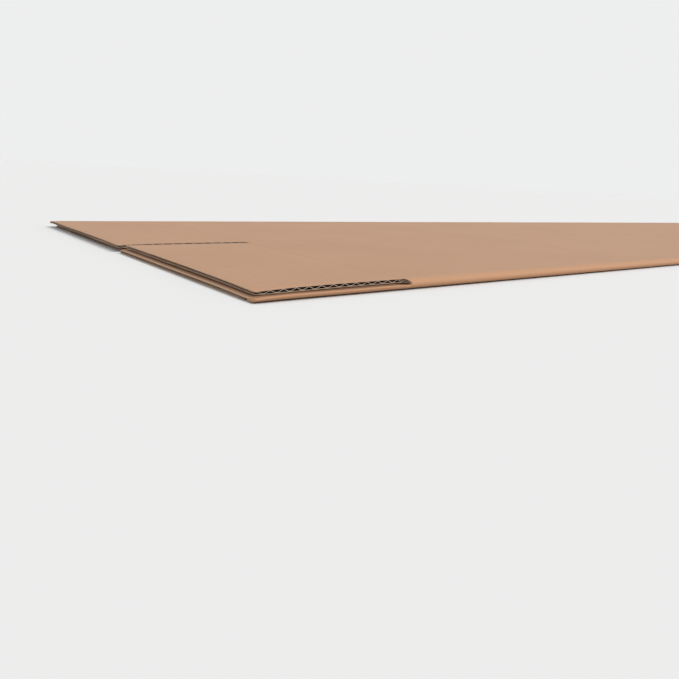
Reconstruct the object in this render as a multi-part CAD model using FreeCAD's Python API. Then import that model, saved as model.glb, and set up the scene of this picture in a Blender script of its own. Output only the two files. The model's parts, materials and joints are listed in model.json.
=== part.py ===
import FreeCAD, Part
import math
import os

# A long square slotted box of single-wall corrugated board, folded flat.
# X runs along the box, Y across it, Z up; lengths are in millimetres.
# Four panels lie in two layers between two folded long edges. Each panel
# carries a flap at each end. The two upper flaps of each end turn up on
# their score line; everything else is one folded sheet.

os.makedirs("parts", exist_ok=True)

# Erected box
inner_side = 152.4
inner_length = 1219.2

# Board: two liners and a fluted medium, as pressed in a bundle
board = 1.9
liner = 0.3
medium = 0.22
flute_pitch = 6.35
flank_angle = 42.0

# Allowances from the inside size to the creases and scores
side_allowance = 3.0
length_allowance = 6.0

# Slots between neighbouring flaps, cut on the side of the narrow flap
slot_width = 5.5
slot_overrun = 2.0
slot_corner = 2.5

# The wide flaps close last and are cut a little longer
wide_flap_extra = 3.0

# Cut ends of the flaps: thinned by the knife, with no open flutes, and
# with the upper liner sprung clear of the medium in a narrow slit
crushed_length = 5.9
crushed_thinning = 0.25
slit_depth = 2.5
slit_height = 0.4

# Creases and scores pressed into the board
score_depth = 0.3
score_half_width = 1.6
flute_to_score = 1.9

# Folded long edges: inside reach beyond the flat part, and nose radius
fold_inside_reach = 3.7
fold_nose = 1.7

# Glued joint: the pressed tab lies inside, on the far lower panel
tab_width = 35.0
tab_thickness = 0.5
tab_clearance = 0.15
tab_taper = 12.0
tab_setback = 6.0
tab_root = 4.0
joint_gap = 1.5
tab_flap_trim = 4.0

# Running gap between a turning flap and its panel
hinge_gap = 0.3

# Sizes that follow
panel = inner_side + side_allowance
score_x = (inner_length + length_allowance) / 2
narrow_flap = panel / 2
wide_flap = narrow_flap + wide_flap_extra
layer_gap = tab_thickness + tab_clearance
height = 2 * board + layer_gap
middle = height / 2
fold_reach = fold_inside_reach + board
flat_edge = panel - fold_reach
flute_height = board - 2 * liner
over = 1.0


def point(x, y, z):
    return FreeCAD.Vector(x, y, z)


def line(a, b):
    return Part.makeLine(a, b)


def prism(edges, way):
    """Extrudes the face inside a closed run of edges."""
    return Part.Face(Part.Wire(edges)).extrude(way)


def pierced_face(outline, openings):
    """The flat face inside an outline and outside its openings."""
    return Part.makeFace([outline] + openings, "Part::FaceMakerBullseye")


def arc(centre, radius, start, end):
    """An arc in the plane X = 0, from start to end in degrees above +Y."""
    def at(degrees):
        angle = math.radians(degrees)
        return centre + point(0, radius * math.cos(angle), radius * math.sin(angle))
    return Part.Arc(at(start), at((start + end) / 2), at(end)).toShape()


def outer_fold(side, upper):
    """A quarter of a folded edge's outside: a broad shoulder, then the nose.

    side is +1 at the far edge and -1 at the near one. The shoulder arc is
    tangent to the flat face and to the nose arc, which ends upright.
    """
    nose = min(fold_nose, 0.9 * middle)
    shoulder = (fold_reach ** 2 - 2 * fold_reach * nose + middle ** 2) / (2 * (middle - nose))
    turn = math.degrees(math.atan2(shoulder - middle, fold_reach - nose))
    up = 1 if upper else -1
    shoulder_centre = point(0, side * flat_edge, middle - up * (shoulder - middle))
    nose_centre = point(0, side * (flat_edge + fold_reach - nose), middle)

    def quarter(centre, radius, start, end):
        angles = [degrees if side > 0 else 180 - degrees for degrees in (start, end)]
        return arc(centre, radius, up * angles[0], up * angles[1])

    return [quarter(shoulder_centre, shoulder, 90, turn), quarter(nose_centre, nose, turn, 0)]


def inner_fold(side, upper):
    """A quarter of a folded edge's inside: a flat run, then a half-round end."""
    radius = layer_gap / 2
    up = 1 if upper else -1
    centre_y = side * (flat_edge + fold_inside_reach - radius)
    level = middle + up * radius
    start = 90
    end = 0 if side > 0 else 180
    flat = line(point(0, side * flat_edge, level), point(0, centre_y, level))
    return [flat, arc(point(0, centre_y, middle), radius, up * start, up * end)]


def ring_wire(quarter, rise):
    """A closed outline of the flattened sleeve from its four quarters."""
    edges = [line(point(0, -flat_edge, middle + z), point(0, flat_edge, middle + z)) for z in (-rise, rise)]
    for side in (-1, 1):
        for upper in (False, True):
            edges += quarter(side, upper)
    return Part.Wire(Part.sortEdges(edges)[0])


def tube():
    """The four panels between the two end scores, as a hollow sleeve."""
    outer = ring_wire(outer_fold, middle)
    inner = ring_wire(inner_fold, layer_gap / 2)
    body = pierced_face(outer, [inner]).extrude(point(2 * score_x, 0, 0))
    body.translate(point(-score_x, 0, 0))
    return body


def fold_lip(side, x_low, x_high):
    """Half of a folded edge, which stays on a wide flap.

    It is the lower half on the near edge and the upper half on the far one.
    """
    upper = side > 0
    root_y = side * flat_edge
    root = line(point(0, root_y, middle + side * middle), point(0, root_y, middle + side * layer_gap / 2))
    tip = line(point(0, side * panel, middle), point(0, side * (flat_edge + fold_inside_reach), middle))
    edges = outer_fold(side, upper) + [tip] + inner_fold(side, upper) + [root]
    lip = prism(Part.sortEdges(edges)[0], point(x_high - x_low, 0, 0))
    lip.translate(point(x_low, 0, 0))
    return lip


def flute_wire(centre_x, base_z, inverted, along):
    """The outline of one flute opening, a boat with a round keel.

    Straight flanks run from the liner to a keel arc that is tangent to
    both, so that the medium between two openings keeps its thickness.
    """
    angle = math.radians(flank_angle)
    depth = flute_height - medium
    half_top = (flute_pitch / 2 + flute_height / math.tan(angle) - medium / math.sin(angle)) / 2
    keel = (half_top - depth / math.tan(angle)) / math.tan(angle / 2)
    tangent_x = keel * math.sin(angle)
    tangent_z = keel * (1 - math.cos(angle))

    def place(x, rise):
        z = base_z + liner + (flute_height - medium - rise if inverted else medium + rise)
        return point(centre_x + x, along, z)

    left_top, right_top = place(-half_top, depth), place(half_top, depth)
    left_low, right_low = place(-tangent_x, tangent_z), place(tangent_x, tangent_z)
    arc = Part.Arc(left_low, place(0, 0), right_low).toShape()
    return Part.Wire([
        line(right_top, left_top),
        line(left_top, left_low),
        arc,
        line(right_low, right_top),
    ])


def fluted_board(end, start_x, length, y_low, y_high, base_z, scored):
    """One flap as cut across the flutes, with every flute open through it.

    end is +1 or -1, start_x the distance of its inner edge from the middle
    of the box, and length the reach of its cut end past the score line.
    """
    cut_end = score_x + length
    top = base_z + board
    slit_top = top - crushed_thinning - liner
    corners = [
        (start_x, base_z),
        (cut_end - crushed_length, base_z),
        (cut_end, base_z + crushed_thinning),
        (cut_end, slit_top - slit_height),
        (cut_end - slit_depth, slit_top - slit_height / 2),
        (cut_end, slit_top),
        (cut_end, top - crushed_thinning),
        (cut_end - crushed_length, top),
    ]
    if scored:
        corners += [(start_x + score_half_width, top), (start_x, top - score_depth)]
    else:
        corners += [(start_x, top)]
    points = [point(end * x, y_low, z) for x, z in corners]
    outline = Part.makePolygon(points + points[:1])
    free = cut_end - crushed_length - score_x - flute_to_score
    count = int(free / flute_pitch)
    first = score_x + flute_to_score + (free - count * flute_pitch) / 2
    openings = []
    for number in range(count):
        low_x = first + (number + 0.5) * flute_pitch
        openings.append(flute_wire(end * low_x, base_z, False, y_low))
        if number:
            openings.append(flute_wire(end * (low_x - flute_pitch / 2), base_z, True, y_low))
    return pierced_face(outline, openings).extrude(point(0, y_high - y_low, 0))


def score_cut(x, z, inward):
    """A shallow V across the whole sheet; inward is +1 or -1 into the board."""
    low_y, high_y = -panel - over, panel + over
    a = point(x - score_half_width, low_y, z)
    b = point(x + score_half_width, low_y, z)
    c = point(x, low_y, z + inward * score_depth)
    return prism([line(a, b), line(b, c), line(c, a)], point(0, high_y - low_y, 0))


def middle_crease_cut():
    """The flattened third crease, along the middle of the upper layer."""
    a = point(-score_x - over, -score_half_width, height)
    b = point(-score_x - over, score_half_width, height)
    c = point(-score_x - over, 0, height - score_depth)
    return prism([line(a, b), line(b, c), line(c, a)], point(2 * score_x + 2 * over, 0, 0))


def slot_end_cut(end, y_low, y_high, z_low, z_high):
    """The round-cornered inner end of a slot, past the score line."""
    reach = slot_overrun + 2 * slot_corner + over
    inner_x = score_x - slot_overrun
    box = Part.makeBox(reach, y_high - y_low, z_high - z_low, point(inner_x, y_low, z_low))
    corner = min(slot_corner, 0.45 * slot_width)
    upright = []
    for edge in box.Edges:
        low, high = edge.Vertexes[0].Point, edge.Vertexes[-1].Point
        at_inner_end = max(abs(low.x - inner_x), abs(high.x - inner_x)) < 1e-6
        if at_inner_end and abs(low.z - high.z) > 1e-6:
            upright.append(edge)
    cutter = box.makeFillet(corner, upright)
    if end < 0:
        cutter = cutter.mirror(point(0, 0, 0), point(1, 0, 0))
    return cutter


def slot_cuts(end):
    """The three slot ends that reach into the panels at one end."""
    beyond = 2 * slot_corner + over
    near_fold = slot_end_cut(end, -panel - beyond, -panel + slot_width, middle, height + over)
    centre = slot_end_cut(end, -slot_width, 0, height - board - tab_clearance / 2, height + over)
    far_fold = slot_end_cut(end, panel - slot_width, panel + beyond, -over, middle)
    return [near_fold, centre, far_fold]


def glue_tab():
    """The pressed tab that joins the lower layer, tapered at its ends."""
    long_x = score_x - tab_setback
    short_x = long_x - tab_taper
    corners = [(-long_x, -tab_root), (long_x, -tab_root), (long_x, 0), (short_x, tab_width),
               (-short_x, tab_width), (-long_x, 0)]
    points = [point(x, y, board) for x, y in corners]
    return Part.Face(Part.makePolygon(points + points[:1])).extrude(point(0, 0, tab_thickness))


def lower_flaps(end):
    """The near wide flap with its half of the fold, and the far narrow flap."""
    near = fluted_board(end, score_x, wide_flap, -flat_edge, -tab_flap_trim, 0, False)
    x_low, x_high = sorted((end * score_x, end * (score_x + wide_flap)))
    lip = fold_lip(-1, x_low, x_high)
    far = fluted_board(end, score_x, narrow_flap, joint_gap, panel - slot_width, 0, False)
    return [near, lip, far]


def folded_sleeve():
    """The whole sheet apart from the four upper flaps, as one solid."""
    joint = Part.makeBox(2 * score_x + 2 * over, joint_gap, board + over,
                         point(-score_x - over, 0, -over))
    body = tube().cut(joint)
    body = body.fuse([glue_tab()] + lower_flaps(-1) + lower_flaps(1))
    cuts = [middle_crease_cut()] + slot_cuts(-1) + slot_cuts(1)
    for end in (-1, 1):
        cuts.append(score_cut(end * score_x, 0, 1))
        cuts.append(score_cut(end * score_x, height, -1))
    return body.cut(cuts).removeSplitter()


def near_flap(end):
    """The narrow upper flap, set back from the fold by the slot."""
    return fluted_board(end, score_x + hinge_gap, narrow_flap,
                        -panel + slot_width, -slot_width, height - board, True)


def far_flap(end):
    """The wide upper flap, which keeps the upper half of the far fold."""
    plate = fluted_board(end, score_x + hinge_gap, wide_flap, 0, flat_edge, height - board, True)
    x_low, x_high = sorted((end * (score_x + hinge_gap), end * (score_x + wide_flap)))
    return plate.fuse(fold_lip(1, x_low, x_high)).removeSplitter()


def write(name, shape):
    """Writes one piece and prints its size for the maker."""
    solids = shape.Solids
    piece = solids[0] if len(solids) == 1 else shape
    box = piece.BoundBox
    print(name, "solids", len(solids), "valid", piece.isValid(),
          "size", round(box.XLength, 2), round(box.YLength, 2), round(box.ZLength, 2))
    piece.exportStep("parts/" + name + ".step")


write("folded_sleeve", folded_sleeve())
for end, word in ((-1, "left"), (1, "right")):
    write("near_flap_" + word, near_flap(end))
    write("far_flap_" + word, far_flap(end))
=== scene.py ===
"""A long corrugated cardboard box folded flat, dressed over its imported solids."""

import json
import logging
import math
from dataclasses import dataclass, field
from enum import Enum
from typing import Callable, Sequence

import bmesh
import bpy
from mathutils import Matrix, Vector, noise

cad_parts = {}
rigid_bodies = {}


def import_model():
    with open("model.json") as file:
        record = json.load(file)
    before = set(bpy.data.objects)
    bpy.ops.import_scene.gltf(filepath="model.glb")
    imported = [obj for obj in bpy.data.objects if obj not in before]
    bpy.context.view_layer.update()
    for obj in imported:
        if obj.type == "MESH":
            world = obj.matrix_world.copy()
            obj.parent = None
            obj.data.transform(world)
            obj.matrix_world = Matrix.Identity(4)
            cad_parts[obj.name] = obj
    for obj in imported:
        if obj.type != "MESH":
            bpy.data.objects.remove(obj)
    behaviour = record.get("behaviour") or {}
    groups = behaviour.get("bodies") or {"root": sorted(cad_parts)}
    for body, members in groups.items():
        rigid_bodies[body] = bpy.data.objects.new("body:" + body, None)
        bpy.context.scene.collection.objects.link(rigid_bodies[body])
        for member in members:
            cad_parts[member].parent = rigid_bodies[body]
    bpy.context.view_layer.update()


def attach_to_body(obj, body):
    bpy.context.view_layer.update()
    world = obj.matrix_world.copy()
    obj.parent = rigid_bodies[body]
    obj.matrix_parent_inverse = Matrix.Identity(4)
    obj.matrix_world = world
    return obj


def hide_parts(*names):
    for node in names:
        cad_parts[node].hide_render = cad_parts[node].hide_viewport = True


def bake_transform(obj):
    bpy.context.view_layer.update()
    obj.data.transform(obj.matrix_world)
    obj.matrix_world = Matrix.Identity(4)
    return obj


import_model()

MM = 0.001
TUCK = 0.02 * MM  # pieces of one body reach this far into each other
LOG = logging.getLogger("flat_box")

Point = tuple[float, float, float]
Section = list[tuple[float, float]]
Colour = tuple[float, float, float]
Warp = Callable[[float, float, float], Point]


class End(Enum):
    """The two ends of the box, by the sign of X."""

    LEFT = -1
    RIGHT = 1


class Layer(Enum):
    """The two layers of the box folded flat."""

    LOWER = 0
    UPPER = 1


class Side(Enum):
    """The two long sides, by the sign of Y."""

    NEAR = -1
    FAR = 1


@dataclass(frozen=True)
class Board:
    """Sizes of the board and of the box folded flat, in metres.

    They are the sizes of the solids. Only liner and medium differ a little
    here, as the photo's cut edges show them.
    """

    thickness: float = 1.9 * MM
    liner: float = 0.26 * MM
    medium: float = 0.23 * MM
    pitch: float = 6.35 * MM
    panel: float = 155.4 * MM
    score: float = 612.6 * MM
    score_half: float = 1.6 * MM
    hinge_gap: float = 0.3 * MM
    layer_gap: float = 0.65 * MM
    fold_inside: float = 3.7 * MM
    nose: float = 1.7 * MM
    slot: float = 5.5 * MM
    narrow: float = 77.7 * MM
    wide: float = 80.7 * MM
    joint: float = 1.5 * MM
    tab_trim: float = 4.0 * MM

    @property
    def height(self) -> float:
        """Full height of the two layers."""
        return 2 * self.thickness + self.layer_gap

    @property
    def middle(self) -> float:
        """Height of the parting plane between the layers."""
        return self.height / 2

    @property
    def fold_reach(self) -> float:
        """How far a folded edge stands out past the flat panel."""
        return self.fold_inside + self.thickness

    @property
    def flat_edge(self) -> float:
        """Distance from the centre line to the start of a folded edge."""
        return self.panel - self.fold_reach

    @property
    def hinge_x(self) -> float:
        """Distance from the middle of the box to a flap's turning line."""
        return self.score + self.hinge_gap / 2


BOARD = Board()


def smooth(value: float) -> float:
    """Smoothstep of a value held between 0 and 1."""
    held = min(1.0, max(0.0, value))
    return held * held * (3 - 2 * held)


def wander(x: float, y: float, period: float, seed: float) -> float:
    """Soft noise over the plan of the box, about -1 to 1."""
    return noise.noise(Vector((x / period, y / period, seed)))


def spread(start: float, stop: float, step: float) -> list[float]:
    """Evenly spaced values from start to stop, no further apart than step."""
    count = max(1, math.ceil(abs(stop - start) / step - 1e-9))
    return [start + (stop - start) * n / count for n in range(count + 1)]


def fold_quarter(steps: int = 7) -> Section:
    """Outside of the far upper quarter of a folded edge.

    Args:
        steps: pieces that each of its two arcs is divided into.

    Returns:
        Points from the flat panel's edge down to the nose, in the plane YZ.
    """
    reach, nose_r, half = BOARD.fold_reach, BOARD.nose, BOARD.middle
    shoulder = (reach ** 2 - 2 * reach * nose_r + half ** 2) / (2 * (half - nose_r))
    turn = math.atan2(shoulder - half, reach - nose_r)
    points = []
    for n in range(steps + 1):
        angle = math.pi / 2 + (turn - math.pi / 2) * n / steps
        points.append((BOARD.flat_edge + shoulder * math.cos(angle),
                       BOARD.height - shoulder + shoulder * math.sin(angle)))
    for n in range(1, steps + 1):
        angle = turn * (1 - n / steps)
        points.append((BOARD.panel - nose_r + nose_r * math.cos(angle),
                       half + nose_r * math.sin(angle)))
    return points


def inner_quarter(steps: int = 4) -> Section:
    """Inside of the far upper quarter of a folded edge, from the flat to the nose."""
    radius = BOARD.layer_gap / 2
    centre = BOARD.flat_edge + BOARD.fold_inside - radius
    points = [(BOARD.flat_edge, BOARD.middle + radius)]
    for n in range(steps + 1):
        angle = math.pi / 2 * (1 - n / steps)
        points.append((centre + radius * math.cos(angle), BOARD.middle + radius * math.sin(angle)))
    return points


def placed(quarter: Section, side: Side, layer: Layer) -> Section:
    """A far upper quarter, mirrored to another side or layer."""
    up = 1 if layer is Layer.UPPER else -1
    return [(side.value * y, BOARD.middle + up * (z - BOARD.middle)) for y, z in quarter]


def new_object(name: str, mesh: bpy.types.Mesh) -> bpy.types.Object:
    """Links a mesh to the scene as an object at the origin."""
    obj = bpy.data.objects.new(name, mesh)
    bpy.context.scene.collection.objects.link(obj)
    return obj


def mesh_from(name: str, verts: Sequence[Point], faces: Sequence[Sequence[int]]) -> bpy.types.Mesh:
    """A mesh from points and faces, with its normals made to point outwards.

    Args:
        name: name of the new mesh.
        verts: points in metres.
        faces: corner numbers of each face.

    Returns:
        The new mesh.
    """
    mesh = bpy.data.meshes.new(name)
    mesh.from_pydata([Vector(v) for v in verts], [], [list(f) for f in faces])
    tidy_mesh(mesh)
    return mesh


def tidy_mesh(mesh: bpy.types.Mesh, close: bool = False) -> None:
    """Merges doubles, closes open ends if asked, and turns faces outwards.

    Args:
        mesh: mesh that is changed in place.
        close: whether open boundaries get a face.
    """
    bm = bmesh.new()
    bm.from_mesh(mesh)
    bmesh.ops.remove_doubles(bm, verts=bm.verts, dist=1e-6)
    if close:
        rims = [e for e in bm.edges if e.is_boundary]
        bmesh.ops.holes_fill(bm, edges=rims, sides=0)
    wide = [f for f in bm.faces if len(f.verts) > 4]
    bmesh.ops.triangulate(bm, faces=wide)
    bmesh.ops.recalc_face_normals(bm, faces=bm.faces)
    bm.to_mesh(mesh)
    bm.free()


def ring_faces(around: int, rings: int) -> list[list[int]]:
    """Faces of a row of equal rings of points, with both ends closed.

    Args:
        around: number of points in each ring.
        rings: number of rings.

    Returns:
        Corner numbers of each face.
    """
    faces = []
    for ring in range(rings - 1):
        for n in range(around):
            a, b = ring * around + n, ring * around + (n + 1) % around
            faces.append([a, b, b + around, a + around])
    last = rings * around - 1
    return faces + [list(range(around)), [last - n for n in range(around)]]


def swept(name: str, section: Section, stations: Sequence[float], warp: Warp) -> bpy.types.Mesh:
    """A closed outline in the plane YZ carried along X, with both ends closed.

    Args:
        name: name of the new mesh.
        section: corners of the outline, in order round it.
        stations: places along X.
        warp: function that moves each point to its final place.

    Returns:
        The new closed mesh.
    """
    verts = [warp(x, y, z) for x in stations for y, z in section]
    return mesh_from(name, verts, ring_faces(len(section), len(stations)))


def joined(name: str, meshes: Sequence[bpy.types.Mesh]) -> bpy.types.Object:
    """One object from several meshes, which are used up."""
    bm = bmesh.new()
    for mesh in meshes:
        bm.from_mesh(mesh)
        bpy.data.meshes.remove(mesh)
    target = bpy.data.meshes.new(name)
    bm.to_mesh(target)
    bm.free()
    return new_object(name, target)


def evaluated(obj: bpy.types.Object, name: str) -> bpy.types.Mesh:
    """The plain mesh that an object's modifiers give; the object is removed."""
    graph = bpy.context.evaluated_depsgraph_get()
    mesh = bpy.data.meshes.new_from_object(obj.evaluated_get(graph), depsgraph=graph)
    mesh.name = name
    obj.modifiers.clear()
    bpy.data.objects.remove(obj, do_unlink=True)
    return mesh


def coat(mesh: bpy.types.Mesh, *finishes: bpy.types.Material) -> None:
    """Adds materials to a mesh, in order."""
    for finish in finishes:
        mesh.materials.append(finish)


def round_first(mesh: bpy.types.Mesh) -> None:
    """Shades smooth only the faces in the first material."""
    for face in mesh.polygons:
        face.use_smooth = face.material_index == 0


def attach(piece: bpy.types.Object, node: str, body: str | None = None) -> None:
    """Lets a piece stand for a node and, if a body is named, ride on it."""
    if body:
        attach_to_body(piece, body)
    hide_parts(node)
    LOG.info("%s, %d faces", piece.name, len(piece.data.polygons))


def paint_cut_faces(mesh: bpy.types.Mesh, index: int, test: Callable[[Vector, Vector], bool]) -> None:
    """Gives the faces that pass a test another material slot.

    Args:
        mesh: mesh to change.
        index: number of the material slot.
        test: takes a face's centre and normal.
    """
    for face in mesh.polygons:
        if test(face.center, face.normal):
            face.material_index = index


class Graph:
    """Small helper that lays out the nodes of one tree."""

    def __init__(self, tree: bpy.types.NodeTree) -> None:
        """Empties the tree."""
        self.tree = tree
        self.tree.nodes.clear()

    def node(self, kind: str, **values: object) -> bpy.types.Node:
        """A new node with its plain properties set."""
        made = self.tree.nodes.new(kind)
        for key, value in values.items():
            setattr(made, key, value)
        return made

    def link(self, source: bpy.types.NodeSocket, target: bpy.types.NodeSocket) -> None:
        """Joins two sockets."""
        self.tree.links.new(source, target)

    def math(self, operation: str, *terms: object) -> bpy.types.NodeSocket:
        """A math node over sockets and numbers.

        Args:
            operation: the node's operation.
            terms: sockets or numbers, in order.

        Returns:
            The result's socket.
        """
        made = self.node("ShaderNodeMath", operation=operation)
        for socket, term in zip(made.inputs, terms):
            if isinstance(term, bpy.types.NodeSocket):
                self.link(term, socket)
            else:
                socket.default_value = float(term)
        return made.outputs[0]

    def noise(self, source: bpy.types.NodeSocket, scale: float, detail: float,
              stretch: Point = (1.0, 1.0, 1.0)) -> bpy.types.NodeSocket:
        """Noise over coordinates stretched by a factor for each axis.

        Args:
            source: the coordinates.
            scale: size of the pattern, in cells a metre.
            detail: octaves.
            stretch: factor for each axis.

        Returns:
            The noise value's socket.
        """
        mapping = self.node("ShaderNodeMapping")
        mapping.inputs["Scale"].default_value = stretch
        self.link(source, mapping.inputs["Vector"])
        made = self.node("ShaderNodeTexNoise")
        made.inputs["Scale"].default_value = scale
        made.inputs["Detail"].default_value = detail
        self.link(mapping.outputs[0], made.inputs["Vector"])
        return made.outputs[0]

    def ramp(self, value: bpy.types.NodeSocket, low: float, high: float,
             start: float = 0.0, stop: float = 1.0) -> bpy.types.NodeSocket:
        """A clamped map of a value from low..high to start..stop."""
        made = self.node("ShaderNodeMapRange")
        made.inputs[1].default_value = low
        made.inputs[2].default_value = high
        made.inputs[3].default_value = start
        made.inputs[4].default_value = stop
        self.link(value, made.inputs[0])
        return made.outputs[0]

    def finish(self, colour: bpy.types.NodeSocket, rough: object, specular: float,
               relief: bpy.types.NodeSocket | None = None, strength: float = 0.0) -> None:
        """Ends the tree in a principled surface.

        Args:
            colour: socket of the base colour.
            rough: roughness, as a socket or a number.
            specular: specular level.
            relief: socket of the surface's height, if it has a relief.
            strength: strength of the relief, over a tenth of a millimetre.
        """
        shader = self.node("ShaderNodeBsdfPrincipled")
        shader.inputs["Specular IOR Level"].default_value = specular
        self.link(colour, shader.inputs["Base Color"])
        if isinstance(rough, bpy.types.NodeSocket):
            self.link(rough, shader.inputs["Roughness"])
        else:
            shader.inputs["Roughness"].default_value = rough
        if relief is not None:
            bump = self.node("ShaderNodeBump")
            bump.inputs["Strength"].default_value = strength
            bump.inputs["Distance"].default_value = 0.1 * MM
            self.link(relief, bump.inputs["Height"])
            self.link(bump.outputs[0], shader.inputs["Normal"])
        self.link(shader.outputs[0], self.node("ShaderNodeOutputMaterial").inputs[0])

    def mix(self, factor: bpy.types.NodeSocket, first: object, second: object) -> bpy.types.NodeSocket:
        """A colour mix of two colours or sockets."""
        made = self.node("ShaderNodeMix", data_type="RGBA")
        self.link(factor, made.inputs[0])
        for socket, colour in ((made.inputs[6], first), (made.inputs[7], second)):
            if isinstance(colour, bpy.types.NodeSocket):
                self.link(colour, socket)
            else:
                socket.default_value = (*colour, 1.0)
        return made.outputs[2]


def new_graph(name: str) -> tuple[bpy.types.Material, Graph, bpy.types.NodeSocket]:
    """A new material with its empty graph and the object coordinates."""
    made = bpy.data.materials.new(name)
    made.use_nodes = True
    graph = Graph(made.node_tree)
    return made, graph, graph.node("ShaderNodeTexCoord").outputs["Object"]


@dataclass(frozen=True)
class KraftFace:
    """Smooth kraft liner: mottled, fibrous, faintly ribbed by the flutes below."""

    name: str = "kraft_face"
    light: Colour = (0.390, 0.230, 0.141)
    dark: Colour = (0.334, 0.196, 0.118)
    warm: Colour = (0.440, 0.228, 0.122)
    speck: Colour = (0.240, 0.136, 0.078)
    rough: float = 0.78
    rib_height: float = 0.30

    def material(self) -> bpy.types.Material:
        """Builds the finish's shader."""
        made, graph, place = new_graph(self.name)
        split = graph.node("ShaderNodeSeparateXYZ")
        graph.link(place, split.inputs[0])
        clouds = graph.noise(place, 14.0, 3.0)
        blotch = graph.noise(place, 130.0, 4.0)
        fibre = graph.noise(place, 1.0, 3.0, (260.0, 2400.0, 900.0))
        specks = graph.ramp(graph.noise(place, 1.0, 1.0, (520.0, 1500.0, 900.0)), 0.70, 0.78)
        tone = graph.math("ADD", graph.math("MULTIPLY", clouds, 0.55), graph.math("MULTIPLY", blotch, 0.45))
        tone = graph.math("ADD", tone, graph.math("MULTIPLY", fibre, 0.55))
        tone = graph.ramp(tone, 0.46, 1.09)
        colour = graph.mix(tone, self.dark, self.light)
        edge = graph.math("ABSOLUTE", split.outputs[1])
        warmth = graph.ramp(edge, BOARD.flat_edge - 4 * MM, BOARD.panel - 2 * MM)
        colour = graph.mix(graph.math("MULTIPLY", warmth, 0.75), colour, self.warm)
        colour = graph.mix(graph.math("MULTIPLY", specks, 0.22), colour, self.speck)
        turn = graph.math("MULTIPLY", split.outputs[0], math.tau / BOARD.pitch)
        rib = graph.math("SINE", turn)
        rib_depth = graph.math("MULTIPLY", rib, self.rib_height)
        relief = graph.math("ADD", rib_depth, graph.math("MULTIPLY", fibre, 0.35))
        relief = graph.math("ADD", relief, graph.math("MULTIPLY", blotch, 0.9))
        rough = graph.ramp(blotch, 0.3, 0.7, self.rough - 0.06, self.rough + 0.06)
        graph.finish(colour, rough, 0.28, relief, 0.8)
        return made


@dataclass(frozen=True)
class RawPaper:
    """Cut or hidden paper: matt, fibrous, in one tone with ragged variation."""

    name: str
    light: Colour
    dark: Colour
    grain: float = 1400.0
    relief: float = 0.6

    def material(self) -> bpy.types.Material:
        """Builds the finish's shader."""
        made, graph, place = new_graph(self.name)
        fine = graph.noise(place, self.grain, 3.0)
        patch = graph.noise(place, self.grain / 9, 2.0)
        tone = graph.math("ADD", graph.math("MULTIPLY", fine, 0.6), graph.math("MULTIPLY", patch, 0.4))
        colour = graph.mix(graph.ramp(tone, 0.36, 0.64), self.dark, self.light)
        graph.finish(colour, graph.ramp(patch, 0.3, 0.7, 0.85, 0.97), 0.15, fine, self.relief)
        return made


def paper(*values: object) -> bpy.types.Material:
    """A field of a dataclass that holds a new raw paper finish."""
    return field(default_factory=lambda: RawPaper(*values).material())


@dataclass
class Finishes:
    """The materials of the whole box, made once."""

    face: bpy.types.Material = field(default_factory=lambda: KraftFace().material())
    rim: bpy.types.Material = paper("liner_cut", (0.560, 0.425, 0.330), (0.420, 0.300, 0.220))
    # Near black: painted shade for the open flutes and for the faces between the liners, far darker than the
    # fluting paper itself.
    medium: bpy.types.Material = paper("fluting_face", (0.060, 0.036, 0.023), (0.036, 0.021, 0.014), 900.0)
    fray: bpy.types.Material = paper("fluting_cut", (0.620, 0.500, 0.400), (0.460, 0.345, 0.260), 2100.0)
    # Dark brown: painted shade for the hollows behind the teeth, the backs of the slot pockets and the tab between
    # the layers.
    crushed: bpy.types.Material = paper("crushed_board", (0.240, 0.150, 0.098), (0.140, 0.082, 0.052), 1800.0, 0.9)
    teeth: bpy.types.Material = paper("knife_cut", (0.560, 0.390, 0.275), (0.380, 0.245, 0.163), 1500.0, 0.7)


class RowKind(Enum):
    """What a row of repeated pieces is made of."""

    FLUTES = "flute_row"
    TEETH = "tooth_row"


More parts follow.
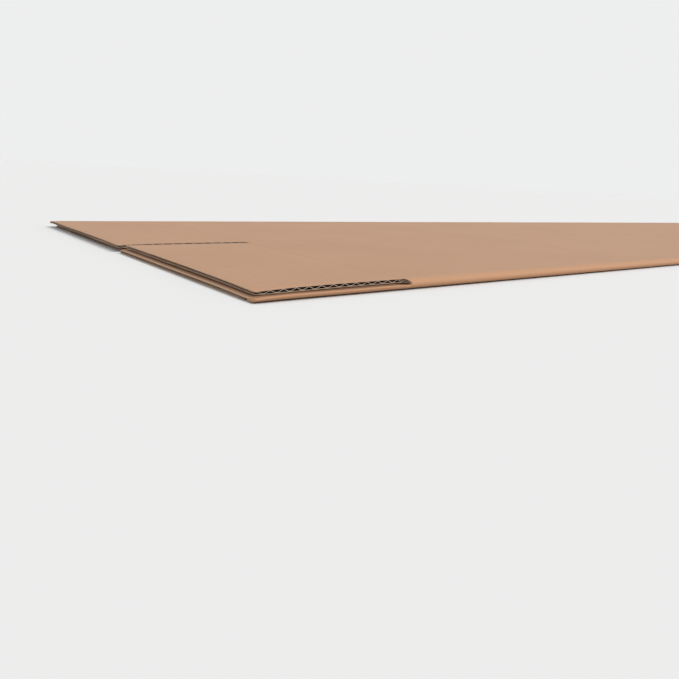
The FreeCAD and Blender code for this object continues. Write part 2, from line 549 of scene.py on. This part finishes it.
@dataclass(frozen=True)
class Row:
    """A row of copies of one small mesh along X, made by Geometry Nodes."""

    kind: RowKind
    count: int
    step: float
    wander: float
    seed: int

    def tree(self) -> bpy.types.NodeTree:
        """The node tree for this kind of row, built on first use.

        Returns:
            A tree with the inputs Count, Step, Wander, Seed and Finish.
        """
        found = bpy.data.node_groups.get(self.kind.value)
        if found:
            return found
        tree = bpy.data.node_groups.new(self.kind.value, "GeometryNodeTree")
        tree.is_modifier = True
        graph = Graph(tree)
        for name, kind in (("Piece", "Geometry"), ("Count", "Int"), ("Step", "Float"), ("Wander", "Float"),
                           ("Seed", "Int"), ("Finish", "Material")):
            tree.interface.new_socket(name, in_out="INPUT", socket_type="NodeSocket" + kind)
        tree.interface.new_socket("Row", in_out="OUTPUT", socket_type="NodeSocketGeometry")
        given = graph.node("NodeGroupInput").outputs
        offset = graph.node("ShaderNodeCombineXYZ")
        graph.link(given["Step"], offset.inputs[0])
        line = graph.node("GeometryNodeMeshLine")
        graph.link(given["Count"], line.inputs["Count"])
        graph.link(offset.outputs[0], line.inputs["Offset"])
        copies = graph.node("GeometryNodeInstanceOnPoints")
        graph.link(line.outputs[0], copies.inputs["Points"])
        graph.link(given["Piece"], copies.inputs["Instance"])
        last = copies.outputs[0]
        if self.kind is RowKind.TEETH:
            last = self._shuffled(graph, given, last)
        real = graph.node("GeometryNodeRealizeInstances")
        graph.link(last, real.inputs[0])
        last = real.outputs[0]
        if self.kind is RowKind.FLUTES:
            last = self._leaning(graph, given, last)
        dressed = graph.node("GeometryNodeSetMaterial")
        graph.link(last, dressed.inputs["Geometry"])
        graph.link(given["Finish"], dressed.inputs["Material"])
        graph.link(dressed.outputs[0], graph.node("NodeGroupOutput").inputs[0])
        return tree

    @staticmethod
    def _shuffled(graph: Graph, given: bpy.types.NodeOutputs, last: bpy.types.NodeSocket) -> bpy.types.NodeSocket:
        """Shifts each copy a little, by the seed."""
        nudge = graph.node("FunctionNodeRandomValue", data_type="FLOAT_VECTOR")
        nudge.inputs[0].default_value = (-1.0, -0.6, -0.7)
        nudge.inputs[1].default_value = (1.0, 0.6, 0.7)
        graph.link(given["Seed"], nudge.inputs["Seed"])
        scaled = graph.node("ShaderNodeVectorMath", operation="SCALE")
        graph.link(nudge.outputs[0], scaled.inputs[0])
        graph.link(given["Wander"], scaled.inputs["Scale"])
        move = graph.node("GeometryNodeTranslateInstances")
        graph.link(last, move.inputs["Instances"])
        graph.link(scaled.outputs[0], move.inputs["Translation"])
        return move.outputs[0]

    @staticmethod
    def _leaning(graph: Graph, given: bpy.types.NodeOutputs, last: bpy.types.NodeSocket) -> bpy.types.NodeSocket:
        """Joins the copies and lets the row lean unevenly along X, by the seed."""
        weld = graph.node("GeometryNodeMergeByDistance")
        weld.inputs["Distance"].default_value = 0.004 * MM
        graph.link(last, weld.inputs["Geometry"])
        cloud = graph.node("ShaderNodeTexNoise", noise_dimensions="4D")
        cloud.inputs["Scale"].default_value = 90.0
        cloud.inputs["Detail"].default_value = 1.0
        graph.link(given["Seed"], cloud.inputs["W"])
        size = graph.math("MULTIPLY", graph.math("SUBTRACT", cloud.outputs[0], 0.5), given["Wander"])
        push = graph.node("ShaderNodeCombineXYZ")
        graph.link(size, push.inputs[0])
        move = graph.node("GeometryNodeSetPosition")
        graph.link(weld.outputs[0], move.inputs["Geometry"])
        graph.link(push.outputs[0], move.inputs["Offset"])
        return move.outputs[0]

    def mesh(self, name: str, piece: bpy.types.Mesh, finish: bpy.types.Material) -> bpy.types.Mesh:
        """The whole row as one plain mesh.

        Args:
            name: name of the new mesh.
            piece: mesh that is repeated.
            finish: material of the row.

        Returns:
            The row's mesh, starting at the origin and running along X.
        """
        tree = self.tree()
        carrier = new_object(name + "_row", piece)
        modifier = carrier.modifiers.new("row", "NODES")
        modifier.node_group = tree
        ids = {item.name: item.identifier for item in tree.interface.items_tree if item.in_out == "INPUT"}
        for key, value in (("Count", self.count), ("Step", self.step), ("Wander", self.wander),
                           ("Seed", self.seed), ("Finish", finish)):
            modifier[ids[key]] = value
        return evaluated(carrier, name)


def flute_profile(steps: int = 14) -> Section:
    """One wave of the medium's centre line: sharp crests, broad troughs.

    Args:
        steps: pieces that the wave is divided into.

    Returns:
        Pairs of distance along the wave and height over the lower liner.
    """
    rise = BOARD.thickness - 2 * BOARD.liner - BOARD.medium
    points = []
    for n in range(steps + 1):
        share = n / steps
        even = 0.5 + 0.5 * math.cos(math.tau * share)
        sharp = 1 - math.sin(math.pi * share)
        points.append((share * BOARD.pitch, BOARD.liner + BOARD.medium / 2 + rise * (0.6 * even + 0.4 * sharp)))
    return points


def flute_piece(name: str, y_low: float, y_high: float) -> bpy.types.Mesh:
    """One wave of the medium, as a strip across the flap with both edges closed."""
    profile = flute_profile()
    across = spread(y_low, y_high, 24 * MM)
    half = BOARD.medium / 2
    verts: list[Point] = []
    for y in across:
        for n, (x, z) in enumerate(profile):
            before, after = profile[max(0, n - 1)], profile[min(len(profile) - 1, n + 1)]
            run, climb = after[0] - before[0], after[1] - before[1]
            if n in (0, len(profile) - 1):
                climb = 0.0
            size = math.hypot(run, climb)
            for way in (-1, 1):
                verts.append((x - way * half * climb / size, y, z + way * half * run / size))
    wide = 2 * len(profile)
    faces: list[list[int]] = []
    for row in range(len(across) - 1):
        for n in range(len(profile) - 1):
            a = row * wide + 2 * n
            faces.append([a, a + 2, a + 2 + wide, a + wide])
            faces.append([a + 1, a + 1 + wide, a + 3 + wide, a + 3])
    for row in (0, len(across) - 1):
        for n in range(len(profile) - 1):
            a = row * wide + 2 * n
            faces.append([a, a + 1, a + 3, a + 2])
    mesh = bpy.data.meshes.new(name)
    mesh.from_pydata([Vector(v) for v in verts], [], faces)
    return mesh


def tooth_piece(name: str, wide: float, lean: float, z_low: float, z_high: float, depth: float) -> bpy.types.Mesh:
    """One slanting tooth that the serrated knife leaves on a cut end.

    Args:
        name: name of the new mesh.
        wide: width of the tooth along the row.
        lean: shift of its top along the row.
        z_low: height of its foot.
        z_high: height of its top.
        depth: how far it reaches back into the board.

    Returns:
        A closed mesh of a few faces, running along X with its front at Y 0.
    """
    half = wide / 2
    middle = (z_low + z_high) / 2
    verts = []
    for z, shift, front in ((z_low, -lean / 2, 0.06 * MM), (middle, 0.0, 0.0), (z_high, lean / 2, 0.12 * MM)):
        verts += [(shift - half, depth, z), (shift - half * 0.9, front + 0.1 * MM, z), (shift, front, z),
                  (shift + half * 0.9, front + 0.1 * MM, z), (shift + half, depth, z)]
    return mesh_from(name, verts, ring_faces(5, 3))


@dataclass
class Flap:
    """One end flap: two liners, the fluted medium and the crushed cut end."""

    name: str
    end: End
    layer: Layer
    body: str
    node: str
    reach: float
    y_low: float
    y_high: float
    lip: Side | None
    seed: int
    corner_crush: float = 0.35 * MM
    crush_spread: tuple[float, float] = (11 * MM, 16 * MM)
    corner_sag: float = 0.4 * MM
    sag_spread: tuple[float, float] = (24 * MM, 34 * MM)
    end_thinning: float = 0.32 * MM
    end_rise: float = 0.16 * MM
    crushed: float = 6.2 * MM
    pinched: float = 1.2 * MM
    void_depth: float = 1.9 * MM
    tooth_step: float = 2.0 * MM
    groove: float = 0.2 * MM
    rib: float = 0.03 * MM
    recess: float = 1.2 * MM

    @property
    def base(self) -> float:
        """Height of the flap's underside."""
        return BOARD.middle + BOARD.layer_gap / 2 if self.layer is Layer.UPPER else 0.0

    @property
    def cut_end(self) -> float:
        """Distance of the cut end from the middle of the box."""
        return BOARD.score + self.reach

    @property
    def start(self) -> float:
        """Where the liners start, past the score."""
        return BOARD.score + BOARD.hinge_gap + BOARD.score_half

    @property
    def flutes(self) -> int:
        """Number of open flutes."""
        return round((self.cut_end - self.pinched - self.start) / BOARD.pitch)

    @property
    def flute_step(self) -> float:
        """Distance between crests, so that whole flutes fill the flap."""
        return (self.cut_end - self.pinched - self.start) / self.flutes

    def warp(self, x: float, y: float, z: float) -> Point:
        """Moves a point of the plain flap to where the worn flap has it.

        Args:
            x: distance along the box.
            y: distance across it.
            z: height in the plain flap.

        Returns:
            The point's final place.
        """
        reach = abs(x)
        gone = self.cut_end - reach
        share = (z - self.base) / BOARD.thickness
        top = min(1.0, max(0.0, share))
        off_edge = y - self.y_low
        corner, broad = (math.exp(-(gone / along) ** 2 - (off_edge / across) ** 2)
                         for along, across in (self.crush_spread, self.sag_spread))
        thin = self.end_thinning * smooth(1 - gone / self.crushed) + self.corner_crush * corner
        drop = -self.end_rise * smooth(1 - gone / self.crushed)
        if self.layer is Layer.UPPER:
            drop += self.corner_sag * broad
        else:
            drop = 0.25 * drop
        rib = self.rib * (0.5 - 0.5 * math.cos((reach - self.start) / self.flute_step * math.tau))
        soft = 0.05 * MM * wander(x, y, 22 * MM, self.seed) + 0.10 * MM * wander(x, y, 70 * MM, 3.0)
        score = self.groove * smooth(1 - abs(reach - BOARD.hinge_x) / (BOARD.score_half + BOARD.hinge_gap / 2))
        dent = top * (thin + (rib if gone > 0 and reach > self.start else 0.0) + score)
        sway = 0.10 * MM * wander(x, 0.0, 9 * MM, self.seed + 11.0) if gone < self.reach - 3 * MM else 0.0
        ragged = 0.10 * MM * wander(0.0, y, 5 * MM, self.seed + 7.0) * smooth(1 - gone / (3 * MM))
        at_lip = self.lip is not None and abs(y) > BOARD.flat_edge
        return (x + self.end.value * ragged, y + (0.0 if at_lip else sway), z - drop - dent + top * soft)

    def _sheet(self, low: float, high: float) -> Section:
        """Outline of a flat layer of the flap between two heights over its base."""
        ys = spread(self.y_low, self.y_high, 4 * MM)
        return [(y, self.base + low) for y in ys] + [(y, self.base + high) for y in reversed(ys)]

    def _liner_sheet(self, outer: bool) -> Section:
        """Outline of a flat liner: the outer one, or the one that looks into the box."""
        if outer == (self.layer is Layer.UPPER):
            return self._sheet(BOARD.thickness - BOARD.liner, BOARD.thickness)
        return self._sheet(0.0, BOARD.liner)

    def _outer_section(self) -> Section:
        """Outline of the outer liner, with its half of the folded edge if it has one."""
        if self.lip is None:
            return self._liner_sheet(outer=True)
        side, up = self.lip.value, self.layer is Layer.UPPER
        inner_y = self.y_low if side > 0 else self.y_high
        flat = spread(inner_y, side * BOARD.flat_edge, 4 * MM)[:-1]
        outer_z = self.base + (BOARD.thickness if up else 0.0)
        liner_z = outer_z + (-BOARD.liner if up else BOARD.liner)
        outer = [(y, outer_z) for y in flat] + placed(fold_quarter(), self.lip, self.layer)
        inner = list(reversed(placed(inner_quarter(), self.lip, self.layer)))
        return outer + inner + [(side * BOARD.flat_edge, liner_z)] + [(y, liner_z) for y in reversed(flat)]

    def stations(self, start: float, stop: float, step: float) -> list[float]:
        """Signed places along X between two distances from the middle."""
        return [self.end.value * x for x in spread(start, stop, step)]

    def liners(self, finishes: Finishes) -> bpy.types.Object:
        """Builds both liners, which run out to the cut end.

        Args:
            finishes: the materials of the box.

        Returns:
            The object of both liners.
        """
        start, step = self.start - 0.3 * MM, BOARD.pitch / 6
        ends = [self.cut_end, self.cut_end - 0.25 * MM]
        if self.layer is Layer.LOWER:
            ends.reverse()
        outer = swept(self.name + "_outer", self._outer_section(), self.stations(start, ends[0], step), self.warp)
        inner = swept(self.name + "_inner", self._liner_sheet(outer=False),
                      self.stations(start, ends[1], step), self.warp)
        obj = joined(self.name + "_liners", [outer, inner])
        self._coat_liners(obj, finishes)
        return obj

    def _coat_liners(self, obj: bpy.types.Object, finishes: Finishes) -> None:
        """Kraft on the faces, a paler tone on the cut rims and the near-black painted shade inside."""
        coat(obj.data, finishes.face, finishes.rim, finishes.medium)

        def is_rim(centre: Vector, normal: Vector) -> bool:
            """Whether a face is a cut edge of the sheet."""
            if abs(normal.x) > 0.9:
                return abs(centre.y) < BOARD.flat_edge + 0.5 * MM
            return self._is_open_edge(centre, normal)

        def is_inside(centre: Vector, normal: Vector) -> bool:
            """Whether a face looks into the board, between its liners."""
            if abs(normal.z) < 0.8 or abs(centre.y) > BOARD.flat_edge:
                return False
            return (normal.z < 0) == (centre.z - self.base > 0.68 * MM)

        # Faces that look into the board, between the liners, get the painted shade.
        paint_cut_faces(obj.data, 2, is_inside)
        paint_cut_faces(obj.data, 1, is_rim)
        round_first(obj.data)

    def medium(self, finishes: Finishes) -> bpy.types.Object:
        """Builds the waved medium, open at the slot edges.

        Args:
            finishes: the materials of the box.

        Returns:
            The object of the medium.
        """
        wave = flute_piece(self.name + "_wave", self.y_low, self.y_high)
        row = Row(RowKind.FLUTES, self.flutes, BOARD.pitch, 1.5 * MM, self.seed)
        mesh = row.mesh(self.name + "_fluting", wave, finishes.medium)
        tidy_mesh(mesh, close=True)
        span = self.flutes * BOARD.pitch
        for vertex in mesh.vertices:
            x, y, z = vertex.co
            along = self.start + min(max(x, 0.0), span) * self.flute_step / BOARD.pitch
            vertex.co = self.warp(self.end.value * along, y, self.base + z)
        tidy_mesh(mesh)
        obj = new_object(self.name + "_fluting", mesh)
        mesh.materials.clear()
        # The fluting is coated in the near-black painted shade of its voids; only its open edges get the paler cut
        # tone.
        coat(mesh, finishes.medium, finishes.fray)
        paint_cut_faces(mesh, 1, lambda centre, normal: abs(normal.y) > 0.9)
        round_first(mesh)
        return obj

    def crushed_end(self, finishes: Finishes) -> bpy.types.Object:
        """Builds the knife's teeth in the cut end and the bent tongue behind them.

        Args:
            finishes: the materials of the box.

        Returns:
            The object of the crushed end.
        """
        low, high = BOARD.liner - TUCK, BOARD.thickness - BOARD.liner + TUCK
        slit = 0.64 * high
        y_low, y_high = self.y_low + 0.15 * MM, min(self.y_high, BOARD.flat_edge) - 0.15 * MM
        if self.lip is Side.NEAR:
            y_low = -BOARD.flat_edge
        ys = spread(y_low, y_high, 3 * MM)
        mid = 0.5 * (low + slit)
        back, front = self.cut_end - self.void_depth, self.cut_end - 0.35 * MM
        tongue = [(back, mid - 0.07 * MM), (back, mid + 0.07 * MM),
                  (front, mid + 0.06 * MM), (front, mid - 0.06 * MM)]
        verts = [self.warp(self.end.value * x, y, self.base + z) for y in ys for x, z in tongue]
        bent = mesh_from(self.name + "_tongue", verts, ring_faces(4, len(ys)))
        count = int((y_high - y_low) / self.tooth_step)
        tooth = tooth_piece(self.name + "_tooth", 0.85 * MM, 1.0 * MM, low, slit, self.void_depth)
        teeth = Row(RowKind.TEETH, count, self.tooth_step, 0.10 * MM, self.seed + 40).mesh(
            self.name + "_teeth", tooth, finishes.teeth)
        for vertex in teeth.vertices:
            x, y, z = vertex.co
            along = self.cut_end - 0.12 * MM - y
            vertex.co = self.warp(self.end.value * along, y_high - 0.6 * MM - x, self.base + z)
        tidy_mesh(teeth)
        obj = joined(self.name + "_crushed_end", [bent, teeth])
        obj.data.materials.clear()
        # The first slot is the dark painted shade of the hollow behind the teeth; faces near the tip get the
        # knife-cut tone.
        coat(obj.data, finishes.crushed, finishes.teeth)
        tip = self.cut_end - 0.9 * MM
        paint_cut_faces(obj.data, 1, lambda centre, normal: abs(centre.x) > tip)
        return obj

    def score_strip(self, finishes: Finishes) -> bpy.types.Object:
        """Builds the scored strip of board that joins the flap to its panel.

        Args:
            finishes: the materials of the box.

        Returns:
            The strip's object.
        """
        first = BOARD.score - BOARD.score_half
        stations = [first - 0.2 * MM] + spread(first, self.start, 0.35 * MM) + [self.start + 0.2 * MM]
        buried = (stations[0], stations[-1])

        def strip_warp(x: float, y: float, z: float) -> Point:
            """The flap's own warp, with the strip's two ends tucked in."""
            px, py, pz = self.warp(x, y, z)
            if abs(x) in buried:
                pz += 0.12 * MM if z < self.base + BOARD.thickness / 2 else -0.12 * MM
            return px, py, pz

        along = [self.end.value * x for x in stations]
        low, high = (self.base + z for z in (BOARD.liner - TUCK, BOARD.thickness - BOARD.liner + TUCK))
        y_low = max(self.y_low + self.recess, -BOARD.flat_edge)
        y_high = min(self.y_high - self.recess, BOARD.flat_edge)
        liners = [swept(self.name + "_score_outer", self._outer_section(), along, strip_warp),
                  swept(self.name + "_score_inner", self._liner_sheet(outer=False), along, strip_warp)]
        core = [(y_low, low), (y_high, low), (y_high, high), (y_low, high)]
        dark = [swept(self.name + "_score_core", core, along, strip_warp)]
        for y, way in ((self.y_low, 1), (self.y_high, -1)):
            if abs(y) < BOARD.flat_edge or (self.lip is None and abs(y) <= BOARD.flat_edge + 1 * MM):
                dark.append(self._web(along, y + way * 0.05 * MM, y + way * 1.6 * MM, strip_warp))
        for mesh in liners:
            paint_cut_faces(mesh, 1, self._is_open_edge)
        # The core and the pressed webs get the near-black painted shade; the webs' open edges then get the paler
        # cut tone.
        for mesh in dark:
            paint_cut_faces(mesh, 2, lambda centre, normal: True)
        for mesh in dark[1:]:
            paint_cut_faces(mesh, 3, self._is_open_edge)
        obj = joined(self.name + "_score", liners + dark)
        coat(obj.data, finishes.face, finishes.rim, finishes.medium, finishes.fray)
        round_first(obj.data)
        return obj

    def _is_open_edge(self, centre: Vector, normal: Vector) -> bool:
        """Whether a face is the cut edge along one of the flap's open sides."""
        return abs(normal.y) > 0.9 and any(abs(centre.y - y) < 0.3 * MM for y in (self.y_low, self.y_high))

    def _web(self, along: Sequence[float], y_from: float, y_to: float, warp: Warp) -> bpy.types.Mesh:
        """The medium's last slope, pressed flat towards the score line.

        Args:
            along: signed places along X.
            y_from: its visible edge.
            y_to: how far it reaches into the board.
            warp: function that moves each point to its final place.

        Returns:
            A thin closed mesh.
        """
        half = BOARD.medium / 2
        rise = BOARD.thickness - 2 * BOARD.liner - BOARD.medium
        first, last = abs(along[0]), abs(along[-1])

        def sloped(x: float, y: float, z: float) -> Point:
            """The strip's warp, after a rise from the score to the first crest."""
            climb = smooth((abs(x) - first) / (last - first))
            return warp(x, y, self.base + BOARD.liner + half + rise * climb + z)

        section = [(y_from, -half), (y_to, -half), (y_to, half), (y_from, half)]
        return swept(self.name + "_web", section, along, sloped)

    def build(self, finishes: Finishes) -> None:
        """Builds, dresses and attaches every piece of the flap.

        Args:
            finishes: the materials of the box.
        """
        for piece in (self.liners(finishes), self.medium(finishes), self.crushed_end(finishes)):
            attach(piece, self.node, self.body)
        strip = self.score_strip(finishes)
        if self.layer is Layer.LOWER:
            attach(strip, self.node, self.body)
            return
        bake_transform(strip)
        attach(strip, self.node)


@dataclass
class Panels:
    """The four panels, folded flat round the two long edges, and the glue tab."""

    slot_inner: float = 610.2 * MM
    slot_corner: float = 1.6 * MM
    crease: float = 0.22 * MM
    station_step: float = 8 * MM
    tab_width: float = 35 * MM
    tab_setback: float = 6 * MM
    tab_taper: float = 12 * MM
    tab_root: float = 4 * MM
    tab_thickness: float = 0.5 * MM
    pockets: tuple[tuple[float, float], ...] = ((0.34 * MM, 0.86 * MM), (1.08 * MM, 1.52 * MM))

    @property
    def end_x(self) -> float:
        """Where the panels end and the scored strips take over."""
        return BOARD.score - BOARD.score_half

    def warp(self, x: float, y: float, z: float) -> Point:
        """Gives the panels their gentle unevenness and the pressed middle crease."""
        lifted = smooth((z - BOARD.middle) / (BOARD.height - BOARD.middle))
        soft = 0.10 * MM * wander(x, y, 70 * MM, 3.0)
        ripple = 0.04 * MM * wander(x, y, 16 * MM, 5.0) * smooth((self.end_x - abs(x)) / (6 * MM))
        dip = self.crease * smooth(1 - abs(y) / (2.2 * MM))
        fold = smooth((abs(y) - BOARD.flat_edge + 6 * MM) / (8 * MM))
        crumple = 0.10 * MM * wander(x, z * 3, 7 * MM, 9.0) * fold
        way = 1 if y > 0 else -1
        return (x, y - way * abs(crumple), z + lifted * (soft + ripple - dip) - lifted * 0.6 * abs(crumple))

    @staticmethod
    def section() -> Section:
        """Outline of the folded sheet, open at the glued joint."""

        def turn(quarter: Section, side: Side, first: Layer, last: Layer) -> Section:
            """Half a turn round a folded edge, from one layer to the other."""
            return placed(quarter, side, first) + list(reversed(placed(quarter, side, last)))[1:]

        edge, step, wide = BOARD.flat_edge, 5 * MM, 10 * MM
        up, low = Layer.UPPER, Layer.LOWER
        top, under = BOARD.middle + BOARD.layer_gap / 2, BOARD.thickness
        crease = [n * MM for n in (2, 1, 0, -1, -2)]
        crest = spread(edge, 3 * MM, step)[1:] + crease + spread(-3 * MM, -edge, step)[:-1]
        return ([(y, 0.0) for y in spread(BOARD.joint, edge, step)[:-1]]
                + turn(fold_quarter(), Side.FAR, low, up)
                + [(y, BOARD.height) for y in crest]
                + turn(fold_quarter(), Side.NEAR, up, low)
                + [(y, 0.0) for y in spread(-edge, 0.0, step)[1:]]
                + [(y, under) for y in spread(0.0, -edge, wide)[:-1]]
                + turn(inner_quarter(), Side.NEAR, low, up)
                + [(y, top) for y in spread(-edge, edge, wide)[1:-1]]
                + turn(inner_quarter(), Side.FAR, up, low)
                + [(y, under) for y in spread(edge, BOARD.joint, wide)[1:]])

    def _slot_cutter(self, end: End, y_low: float, y_high: float, z_low: float, z_high: float) -> bpy.types.Mesh:
        """A slot's inner end with rounded corners, as a solid to cut with."""
        r = self.slot_corner
        plan = [(self.end_x + 3 * MM, y_low), (self.end_x + 3 * MM, y_high)]
        turns = [math.pi / 2 * n / 6 for n in range(7)]
        centre = self.slot_inner + r
        plan += [(centre - r * math.sin(a), y_high - r + r * math.cos(a)) for a in turns]
        plan += [(centre - r * math.cos(a), y_low + r - r * math.sin(a)) for a in turns]
        verts = [(end.value * x, y, z) for z in (z_low, z_high) for x, y in plan]
        return mesh_from("slot_cutter", verts, ring_faces(len(plan), 2))

    def _fold_pocket(self, end: End, side: Side, layer: Layer, outer: float, inner: float) -> bpy.types.Mesh:
        """The hollow between liner and medium that a slot opens in a folded edge.

        Args:
            end: end of the box.
            side: long side of the box.
            layer: layer whose half of the fold is cut.
            outer: depth of the hollow's outer wall under the outside face.
            inner: depth of its inner wall.

        Returns:
            A closed mesh to cut with.
        """
        curve = placed(fold_quarter(), side, layer)[:-3]
        centre = Vector((side.value * (BOARD.flat_edge - 8 * MM), BOARD.middle))
        walls: list[Section] = []
        for depth in (outer, inner):
            wall = []
            for n, (y, z) in enumerate(curve):
                before, after = curve[max(0, n - 1)], curve[min(len(curve) - 1, n + 1)]
                along = Vector((after[0] - before[0], after[1] - before[1])).normalized()
                inward = Vector((-along.y, along.x))
                if inward.dot(centre - Vector((y, z))) < 0:
                    inward = -inward
                wall.append((y + depth * inward.x, z + depth * inward.y))
            walls.append(wall)
        section = walls[0] + list(reversed(walls[1]))
        stations = [end.value * x for x in (self.slot_inner - 3.2 * MM, self.slot_inner + 2 * MM)]
        return swept("fold_pocket", section, stations, lambda x, y, z: (x, y, z))

    def sheet(self, finishes: Finishes) -> bpy.types.Object:
        """Builds the folded sheet and cuts its slot ends.

        Args:
            finishes: the materials of the box.

        Returns:
            The sheet's object.
        """
        stations = spread(-self.end_x, self.end_x, self.station_step)
        sheet = new_object("folded_panels", swept("folded_panels", self.section(), stations, self.warp))
        over, top = 6 * MM, 9 * MM
        slots = [(-BOARD.panel - over, -BOARD.panel + BOARD.slot, BOARD.middle, top),
                 (-BOARD.slot, 0.0, BOARD.height - BOARD.thickness - 0.1 * MM, top),
                 (BOARD.panel - BOARD.slot, BOARD.panel + over, -over, BOARD.middle)]
        cutters = []
        for end in End:
            cutters += [self._slot_cutter(end, *slot) for slot in slots]
            for side, layer in ((Side.NEAR, Layer.UPPER), (Side.FAR, Layer.LOWER)):
                for outer, inner in self.pockets:
                    cutters.append(self._fold_pocket(end, side, layer, outer, inner))
        for number, mesh in enumerate(cutters):
            cutter = new_object(f"cutter_{number}", mesh)
            cutter.hide_render = True
            modifier = sheet.modifiers.new(f"cut_{number}", "BOOLEAN")
            modifier.operation = "DIFFERENCE"
            modifier.solver = "EXACT"
            modifier.object = cutter
        mesh = evaluated(sheet, "folded_panels")
        for number in range(len(cutters)):
            bpy.data.objects.remove(bpy.data.objects[f"cutter_{number}"], do_unlink=True)
        tidy_mesh(mesh)
        obj = new_object("folded_panels", mesh)
        mesh.materials.clear()
        coat(mesh, finishes.face, finishes.rim, finishes.crushed)
        limit = self.slot_inner - 3.3 * MM
        back = limit + 0.4 * MM
        paint_cut_faces(mesh, 1, lambda centre, normal: abs(normal.x) > 0.7 and abs(centre.x) > limit)
        # The back walls of the pockets at the slot ends get the dark painted shade of the hollow.
        paint_cut_faces(mesh, 2, lambda centre, normal: abs(normal.x) > 0.7 and limit < abs(centre.x) < back)
        mesh.set_sharp_from_angle(angle=math.radians(40))
        for face in mesh.polygons:
            face.use_smooth = True
        return obj

    def tab(self, finishes: Finishes) -> bpy.types.Object:
        """Builds the glue tab that bridges the joint inside the lower layer."""
        long_x = BOARD.score - self.tab_setback
        short_x = long_x - self.tab_taper
        plan = [(-long_x, -self.tab_root), (long_x, -self.tab_root), (long_x, 0.0), (short_x, self.tab_width),
                (-short_x, self.tab_width), (-long_x, 0.0)]
        low = BOARD.thickness - TUCK
        verts = [(x, y, z) for z in (low, low + self.tab_thickness) for x, y in plan]
        obj = new_object("glue_tab", mesh_from("glue_tab", verts, ring_faces(6, 2)))
        # The tab is coated in the dark painted shade, as it lies between the layers.
        coat(obj.data, finishes.crushed)
        return obj

    def build(self, finishes: Finishes) -> None:
        """Builds and attaches the folded sheet and its tab.

        Args:
            finishes: the materials of the box.
        """
        for piece in (self.sheet(finishes), self.tab(finishes)):
            attach(piece, "folded_sleeve", "sleeve")


@dataclass(frozen=True)
class Studio:
    """Plain pale floor, soft light and the camera at the photograph's angle."""

    frame_px: float = 679.0
    focal_px: float = 604.7
    azimuth: float = 38.52
    elevation: float = 14.89
    roll: float = 3.29
    place: Point = (-807.1 * MM, -351.4 * MM, 47.7 * MM)
    floor_colour: Colour = (0.620, 0.6215, 0.623)
    surroundings: float = 0.858
    key: float = 2.163
    key_from: Point = (0.5, -0.45, 0.75)

    def camera(self) -> None:
        """Adds the camera."""
        az, el, roll = (math.radians(v) for v in (self.azimuth, self.elevation, self.roll))
        ahead = Vector((math.sin(az) * math.cos(el), math.cos(az) * math.cos(el), -math.sin(el)))
        right = Vector((math.cos(az), -math.sin(az), 0.0))
        up = right.cross(ahead)
        level = right * math.cos(roll) + up * math.sin(roll)
        head = up * math.cos(roll) - right * math.sin(roll)
        data = bpy.data.cameras.new("camera")
        data.sensor_width = 36.0
        data.lens = self.focal_px / self.frame_px * data.sensor_width
        data.clip_start = 0.005
        data.clip_end = 50.0
        camera = bpy.data.objects.new("camera", data)
        turned = Matrix((level, head, -ahead)).transposed().to_4x4()
        camera.matrix_world = Matrix.Translation(self.place) @ turned
        bpy.context.scene.collection.objects.link(camera)
        bpy.context.scene.camera = camera

    def floor(self) -> None:
        """Adds the wide pale floor, which meets the even surroundings far away."""
        around, radius = 128, 60.0
        below = -0.2 * MM
        turns = [math.tau * n / around for n in range(around)]
        verts = [(0.0, 0.0, below)] + [(radius * math.cos(a), radius * math.sin(a), below) for a in turns]
        mesh = bpy.data.meshes.new("floor")
        mesh.from_pydata(verts, [], [[0, 1 + n, 1 + (n + 1) % around] for n in range(around)])
        made, graph, place = new_graph("pale_floor")
        cloud = graph.noise(place, 2.0, 2.0)
        low = tuple(c * 0.995 for c in self.floor_colour)
        colour = graph.mix(graph.ramp(cloud, 0.3, 0.7), low, self.floor_colour)
        graph.finish(colour, 0.9, 0.1)
        mesh.materials.append(made)
        new_object("floor", mesh)

    def light(self) -> None:
        """Adds the soft key light and the even surroundings."""
        data = bpy.data.lights.new("key", "SUN")
        data.energy = self.key
        data.angle = math.radians(35)
        data.color = (1.0, 0.985, 0.965)
        light = bpy.data.objects.new("key", data)
        light.rotation_euler = Vector(self.key_from).to_track_quat("Z", "Y").to_euler()
        bpy.context.scene.collection.objects.link(light)
        world = bpy.data.worlds.new("surroundings")
        world.use_nodes = True
        back = world.node_tree.nodes["Background"]
        back.inputs["Color"].default_value = (0.995, 1.0, 1.0, 1.0)
        back.inputs["Strength"].default_value = self.surroundings
        bpy.context.scene.world = world
        bpy.context.scene.view_settings.view_transform = "Standard"

    def build(self) -> None:
        """Sets up floor, light and camera."""
        self.floor()
        self.light()
        self.camera()


def all_flaps() -> list[Flap]:
    """The eight flaps: two upper ones that turn and two lower ones at each end."""
    made = []
    for end in End:
        word = end.name.lower()
        seed = 3 if end is End.LEFT else 17
        near, far = f"near_flap_{word}", f"far_flap_{word}"
        made.append(Flap(near, end, Layer.UPPER, near, near, BOARD.narrow,
                         -BOARD.panel + BOARD.slot, -BOARD.slot, None, seed))
        made.append(Flap(far, end, Layer.UPPER, far, far, BOARD.wide,
                         0.0, BOARD.flat_edge, Side.FAR, seed + 1, corner_sag=0.15 * MM))
        made.append(Flap("lower_" + near, end, Layer.LOWER, "sleeve", "folded_sleeve", BOARD.wide,
                         -BOARD.flat_edge, -BOARD.tab_trim, Side.NEAR, seed + 2))
        made.append(Flap("lower_" + far, end, Layer.LOWER, "sleeve", "folded_sleeve", BOARD.narrow,
                         BOARD.joint, BOARD.panel - BOARD.slot, None, seed + 3))
    return made


def main() -> None:
    """Builds the box and its studio."""
    logging.basicConfig(level=logging.INFO, format="%(name)s: %(message)s")
    finishes = Finishes()
    Panels().build(finishes)
    for flap in all_flaps():
        flap.build(finishes)
    Studio().build()


if __name__ == "__main__":
    main()
